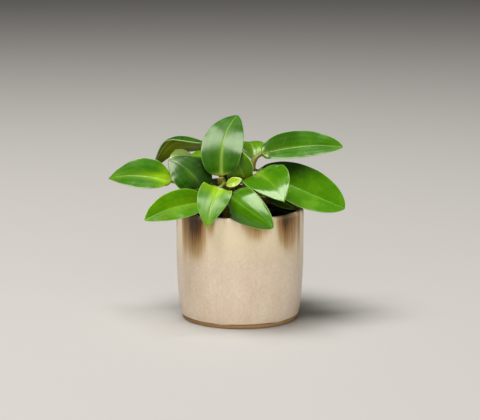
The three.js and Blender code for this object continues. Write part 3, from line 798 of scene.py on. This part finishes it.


# Peperomia leaf: thick, waxy, evergreen. The wax gives a wide soft sheen over a deep
# yellow-green; midrib and margin are pale, the margin partly as a painted highlight where its
# rounded edge catches light, side veins only just show, and light that comes through the
# flesh yellows the thin parts. Fresh leaves are lighter and yellower.
def peperomiaLeaf(name, tones, fleshColour, midribColour, marginAndHighlightColour, undersideTones):
    material, tree = newMaterial(name)
    read = {key: add(tree, "Attribute", attribute_name=key).outputs["Fac"] for key in (
        "along", "midribAway", "marginAway", "vein", "under", "stalk", "tone", "glow", "rib",
        "satin", "shade", "scar", "foot")}
    cloud = pattern(tree, "TexNoise", 9, Detail=3)
    fleck = pattern(tree, "TexNoise", 0.9, offset=(2, 5, 1), Detail=3, Roughness=0.6)
    drift = add(tree, "Math", [cloud, 0.5], **minus)
    drift = add(tree, "Math", [drift, 0.5, read["tone"]], **timesPlus)
    body, below = (add(tree, "ValToRGB", {"Fac": drift}, stops=stops)
                   for stops in (tones, undersideTones))
    # these fall from 1 to 0: away from the midrib, the base, its neck and the margin
    near, base, neck, rim = (
        add(tree, "MapRange", {"Value": read[key], "From Min": gone, "From Max": full},
            **smooth) for key, full, gone in (
                ("midribAway", 0.3, 5.5), ("along", 0.05, 0.6), ("along", 0.03, 0.3),
                ("marginAway", 0.1, 0.6)))
    # paler flesh: near * (glow + 0.15) * (base + 0.2) + neck * glow * 0.85
    glowing = add(tree, "Math", [read["glow"], 0.15], **plus)
    beside = add(tree, "Math", [near, glowing], **times)
    lower = add(tree, "Math", [base, 0.2], **plus)
    beside = add(tree, "Math", [beside, lower], **times)
    neck = add(tree, "Math", [neck, read["glow"]], **times)
    flush = add(tree, "Math", [neck, 0.85, beside], use_clamp=True, **timesPlus)
    # the midrib narrows by 0.95 of its 1.35 toward the tip, and fades as it goes
    ribWidth, ribFade = (
        add(tree, "Math", [read["along"], change, start], **timesPlus)
        for start, change in ((1.35, -0.95), (0.62, -0.42)))
    rib = add(tree, "Math", [read["midribAway"], ribWidth], operation="DIVIDE")
    rib = add(tree, "MapRange", {"Value": rib, "From Min": 1.5, "From Max": 0.2}, **smooth)
    ribFade = add(tree, "Math", [read["rib"], ribFade], **times)
    ribShown = add(tree, "Math", [rib, ribFade], **times)
    flecks = add(tree, "Math", [fleck, 0.5], **minus)
    flecks = add(tree, "Math", [flecks, 0.3], use_clamp=True, **times)
    # the pale margin is partly a painted highlight on the rounded edge; darker leaves show less
    # of it
    rimTone = add(tree, "Math", [read["tone"], 0.2], **plus)
    rimTone = add(tree, "Math", [rimTone, 0.75], operation="MINIMUM")
    rim = add(tree, "Math", [rim, rimTone], **times)
    veinAbove, veinBelow, ribBelow = (
        add(tree, "Math", [source, share], **times)
        for source, share in ((read["vein"], 0.07), (read["vein"], 0.2), (rib, 0.7)))
    # underside: duller and more olive, midrib and veins pale on it
    for share, layer in ((ribBelow, "#b9c47a"), (veinBelow, "#a9b768")):
        below = add(tree, "Mix", {0: share, 6: below, 7: layer}, **colours)
    stalk = add(tree, "Mix", {0: read["foot"], 6: "#6f7d28", 7: "#6e5a24"}, **colours)
    # shade lays painted shade, near-black green, over the bases of leaves deep in the plant,
    # margin included
    for share, layer in ((flush, fleshColour), (veinAbove, midribColour),
                         (ribShown, midribColour), (flecks, fleshColour),
                         (read["under"], below), (rim, marginAndHighlightColour),
                         (read["shade"], "#0c2402"), (read["stalk"], stalk),
                         (read["scar"], "#7a4a17")):
        body = add(tree, "Mix", {0: share, 6: body, 7: layer}, **colours)
    gloss = add(tree, "MapRange", {"Value": cloud, "From Min": 0.3, "From Max": 0.7,
                                   "To Min": 0.21, "To Max": 0.31})
    gloss = add(tree, "Math", [gloss, read["satin"]], **plus)
    rough = add(tree, "Mix", {0: read["under"], 2: gloss, 3: 0.5})
    # the wax has a fine pebble of surface cells, drawn at 0.5 mm so that it shows
    pebble = pattern(tree, "TexNoise", 0.5, Roughness=0.6)
    relief = add(tree, "Math", [fleck, 0.65], **times)
    relief = add(tree, "Math", [pebble, 0.35, relief], **timesPlus)
    bump = add(tree, "Bump", {"Height": relief, "Strength": 0.2, "Distance": 0.1 * mm})
    return finishMaterial(material, Base_Color=body, Roughness=rough, Normal=bump, IOR=1.45,
                          Subsurface_Weight=0.18, Subsurface_Scale=0.9 * mm,
                          Subsurface_Radius=(0.55, 1.0, 0.12), Specular_Tint="#faffe2")


shootMaterial = shootSkin()
for name in shoots["lines"]:
    makeShoot(name, shootMaterial)
print("shoots made")

# the darkest tone, #0c2600, is old leaf and painted deep shade in one; the palest, #cce884,
# past 0.9, is a painted sheen
matureLeaf = peperomiaLeaf(
    "peperomia_leaf",
    [(0.0, "#0c2600"), (0.2, "#1b4600"), (0.45, "#2f6400"), (0.7, "#417600"),
     (0.9, "#5c8c00"), (1.0, "#cce884")],
    "#86b000", "#8cab48", "#9ab868", [(0.0, "#526202"), (1.0, "#869410")])
youngLeaf = peperomiaLeaf(
    "young_peperomia_leaf", [(0.0, "#7d9a0c"), (1.0, "#8fae16")],
    "#a9c024", "#a9bf52", "#b2c55c", [(0.0, "#86a02a"), (1.0, "#98ac3c")])
for seed, (name, leaf) in enumerate(leaves.items()):
    young = name == "leaf_young"
    finishPiece(leafSkin(name, leaf, seed), youngLeaf if young else matureLeaf,
                "young_leaf" if young else "leaf", name)
print("leaves made:", len(leaves))


soil = {
    "base": 7.1,
    "top": 66,
    # the grower's pot round it: radius and height at its foot and at its top, and its wall
    "potFoot": (31, 5.3),
    "potTop": (37, 66.5),
    "potWall": 1.2,
    "relief": 0.9,  # crumbs' height in the part
    # that relief is two products of two sines: share of the height, then each sine's turn per
    # mm along x and y, and its start
    "waves": [(0.6, (0.55, 0, 1.3), (0, 0.6, 0.4)), (0.4, (1.45, -0.9, 0), (0.7, 1.2, 2))],
    "wallRows": 12,
    "bedRows": 90,
    "around": 240,
    "lumps": 420,  # low mounds over the bed, and how wide and high they are
    "lumpRadius": (0.5, 2.0),
    "lumpRise": (-0.35, 0.5),
    "crumbs": 520,  # loose crumbs and bark lying on it
    "crumbSize": (0.35, 1.3),
    "crumbStretch": (0.6, 1.3),
    "crumbDent": (-0.22, 0.22),
    "crumbLift": 0.2,
    "crumbRings": 6,
    "crumbPoints": 7,
    "crumbCap": 0.35,  # angle from its poles to its first and last rings
    "chips": (8, 2.2),  # one crumb in so many is a bark chip, so much longer
    "clearWall": 1.5,  # crumbs lie so far from the pot's wall and from the shoots
    "clearShoot": 4.5,
    "seed": 11,
}


# Radius of the soil's side at a height, a gap inside the grower's pot's tapered wall.
def soilEdge(height):
    (footRadius, foot), (topRadius, top) = soil["potFoot"], soil["potTop"]
    rise = (height - foot) / (top - foot)
    return footRadius + (topRadius - footRadius) * rise - soil["potWall"] - gap


# Height of the bed: the part's two products of sines, plus the sum over random lumps of
# height * exp(-(distance / radius)^2).
def soilHeight(x, y):
    height = soil["top"] + 0 * x
    for share, *sines in soil["waves"]:
        first, second = (np.sin(perX * x + perY * y + start) for perX, perY, start in sines)
        height = height + soil["relief"] * share * first * second
    for px, py, radius, rise in lumps:
        height = height + rise * np.exp(-((x - px) ** 2 + (y - py) ** 2) / radius ** 2)
    return height


# Random places spread evenly over a disc: radius * sqrt(chance) out, at a random bearing.
def scattered(count, radius):
    out = radius * np.sqrt(chance.uniform(0, 1, count))
    bearing = chance.uniform(0, 2 * np.pi, count)
    return np.stack([out * np.cos(bearing), out * np.sin(bearing)], axis=1)


# Potting mix: peat and composted bark, damp, nearly black, with browner fibres and crumbs.
def pottingMix():
    material, tree = newMaterial("potting_mix")
    lump = pattern(tree, "TexNoise", 2.2, Detail=4, Roughness=0.7)
    fine = pattern(tree, "TexNoise", 0.5, Detail=3, Roughness=0.7)
    colour = add(tree, "ValToRGB", {"Fac": lump}, stops=[
        (0.3, "#0b0805"), (0.52, "#1c130b"), (0.7, "#33241a"), (0.85, "#4a3524")])
    damp = add(tree, "MapRange", {"Value": fine, "To Min": 0.6, "To Max": 1.0})
    bump = add(tree, "Bump", {"Height": fine, "Strength": 0.8, "Distance": 0.5 * mm})
    return finishMaterial(material, Base_Color=colour, Roughness=damp, Normal=bump, IOR=1.35)


chance = np.random.default_rng(soil["seed"])
rim = soilEdge(soil["top"])
lumpPlaces = scattered(soil["lumps"], rim)
lumpSizes = [chance.uniform(*soil[key], soil["lumps"]) for key in ("lumpRadius", "lumpRise")]
lumps = np.column_stack([lumpPlaces, *lumpSizes])
base, top, bedRows = soil["base"], soil["top"], soil["bedRows"]
bedOutline = [(0, base), (soilEdge(base), base)]
bedOutline += [(soilEdge(h), h) for h in np.linspace(base + 3, top - 1, soil["wallRows"])]
bedOutline += [(rim * (1 - k / bedRows), top) for k in range(bedRows)] + [(0, top)]
rings, poles = turned(np.array(bedOutline), soil["around"])
onTop = rings[..., 2] > top - 0.5
rings[..., 2] = np.where(onTop, soilHeight(rings[..., 0], rings[..., 1]), rings[..., 2])
poles[1] = (0, 0, float(soilHeight(np.zeros(1), np.zeros(1))[0]))
soilMaterial = pottingMix()
finishPiece(skin("soil_bed", rings, poles), soilMaterial, "potting_soil", "soil")

# Loose crumbs: a ball of a few rings, each copy stretched, dented and turned by chance.
places = scattered(soil["crumbs"], rim - soil["clearWall"])
atSoil = np.array([0.3])  # where a shoot's line comes out of the soil
stems = np.array([bezier(line, atSoil)[0][0, :2] for line in shoots["lines"].values()])
apart = np.linalg.norm(places[:, None] - stems, axis=2).min(axis=1)
places = places[apart > soil["clearShoot"]]
count = len(places)
polar = np.linspace(soil["crumbCap"], np.pi - soil["crumbCap"], soil["crumbRings"])
profile = np.array([(0, 1), *zip(np.sin(polar), np.cos(polar)), (0, -1)])
rings, poles = turned(profile, soil["crumbPoints"])
ball = np.concatenate([rings.reshape(-1, 3), poles])
stretch = chance.uniform(*soil["crumbSize"], (count, 1, 1)) * chance.uniform(
    *soil["crumbStretch"], (count, 1, 3))
oneIn, longer = soil["chips"]
stretch[:count // oneIn, :, 0] *= longer
dent = 1 + chance.uniform(*soil["crumbDent"], (count, len(ball), 1))
basis = np.linalg.qr(chance.normal(size=(count, 3, 3)))[0]
basis[:, :, 0] *= np.sign(np.linalg.det(basis))[:, None]
crumbs = np.einsum("kij,kpj->kpi", basis, ball * stretch * dent)
bed = soilHeight(places[:, 0], places[:, 1]) + soil["crumbLift"]
crumbs += np.column_stack([places, bed])[:, None]
# the ball's rings run from its top down, so its faces are turned round
quads, topFan, bottomFan = ringFaces(soil["crumbRings"], soil["crumbPoints"])
shift = (np.arange(count) * len(ball))[:, None, None]
groups = [(faces[None] + shift).reshape(-1, faces.shape[1])
          for faces in (quads[:, [0, 3, 2, 1]], topFan[:, ::-1], bottomFan[:, ::-1])]
finishPiece(faced("soil_crumbs", crumbs.reshape(-1, 3), groups), soilMaterial, "potting_soil")
print("soil made")
